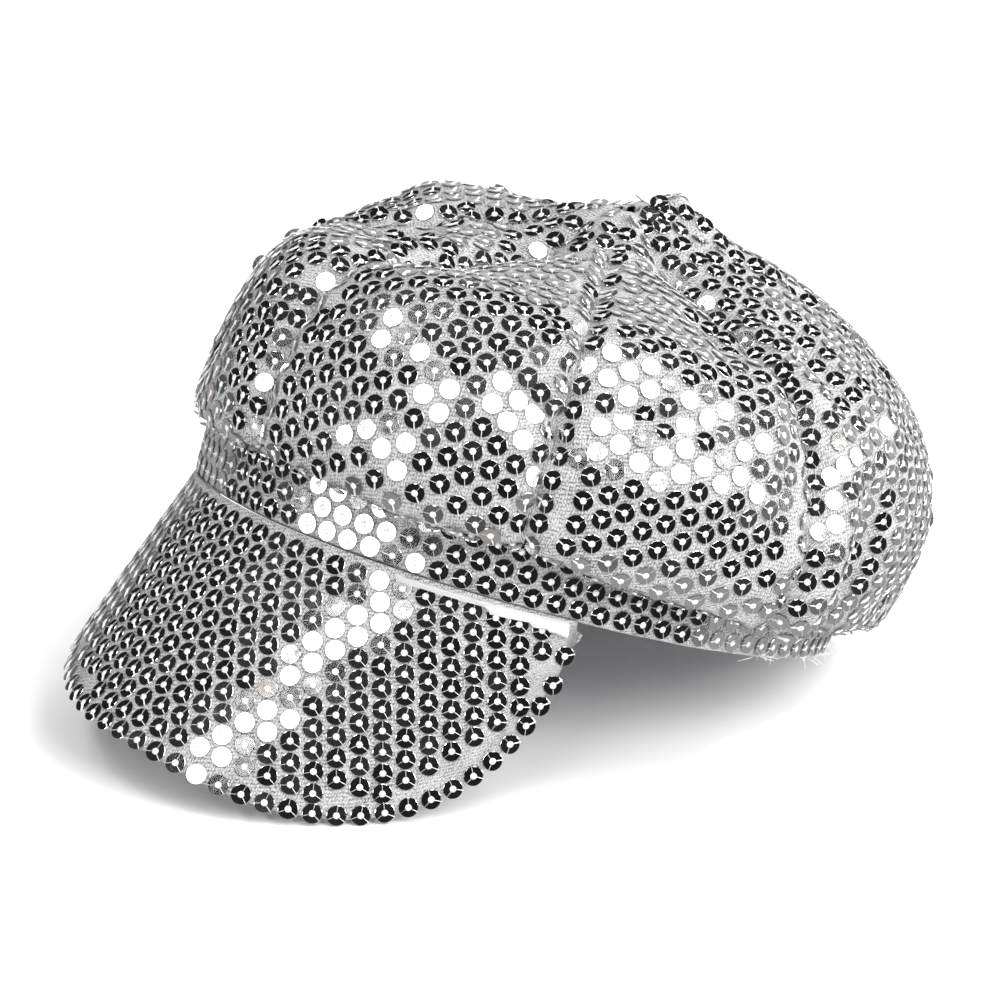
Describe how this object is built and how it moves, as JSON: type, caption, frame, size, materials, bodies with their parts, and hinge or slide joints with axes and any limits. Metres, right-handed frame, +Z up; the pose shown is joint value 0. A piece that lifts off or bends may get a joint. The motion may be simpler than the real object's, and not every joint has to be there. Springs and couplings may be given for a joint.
{
  "type": "sequin newsboy cap",
  "caption": "Party cap in silver sequin cloth: a puffy crown of wedge-shaped gores gathered to a stiffened band, with an arched front visor.",
  "frame": {"origin": "middle of the head opening, in the plane of the band's bottom edge", "axes": "+Z up as the cap lies on a table, -Y the cap's front, +X the wearer's left; the band's plane leans back by 18.2 degrees"},
  "size_m": [0.2076, 0.2779, 0.1451],
  "materials": {
    "sequin_cloth": "silver knit sewn all over with mirror-bright flat sequins",
    "lining_cloth": "thin woven lining with a faint sheen",
    "patch_cloth": "plain woven cloth",
    "sweatband_cloth": "twill tape, matte",
    "stiffener_felt": "pressed non-woven interlining",
    "elastic": "ribbed woven elastic",
    "visor_board": "smooth bendable sheet",
    "visor_lining_cloth": "silver-grey knit without sequins"
  },
  "bodies": {
    "cap_base": {"crown_gore_1": "sequin_cloth", "crown_gore_2": "sequin_cloth", "crown_gore_3": "sequin_cloth", "crown_gore_4": "sequin_cloth", "crown_gore_5": "sequin_cloth", "crown_gore_6": "sequin_cloth", "crown_gore_7": "sequin_cloth", "crown_gore_8": "sequin_cloth", "lining_gore_1": "lining_cloth", "lining_gore_2": "lining_cloth", "lining_gore_3": "lining_cloth", "lining_gore_4": "lining_cloth", "sweatband": "sweatband_cloth", "band_stiffener": "stiffener_felt", "back_elastic": "elastic", "band_cover": "sequin_cloth"},
    "visor": {"visor_cover": "sequin_cloth", "visor_board": "visor_board", "visor_lining": "visor_lining_cloth"},
    "crown_top": {"apex_patch": "patch_cloth"}
  },
  "joints": [
    {"name": "visor_lift", "type": "hinge", "parent": "cap_base", "child": "visor", "pos_m": [0, -0.09721, 0.03154], "axis": [-1, 0, 0], "range_deg": [0, 25]},
    {"name": "crown_press", "type": "slide", "parent": "cap_base", "child": "crown_top", "axis": [0, -0.3123, -0.95], "range_m": [0, 0.04], "deforming": ["crown_gore_1", "crown_gore_2", "crown_gore_3", "crown_gore_4", "crown_gore_5", "crown_gore_6", "crown_gore_7", "crown_gore_8", "lining_gore_1", "lining_gore_2", "lining_gore_3", "lining_gore_4"]}
  ]
}
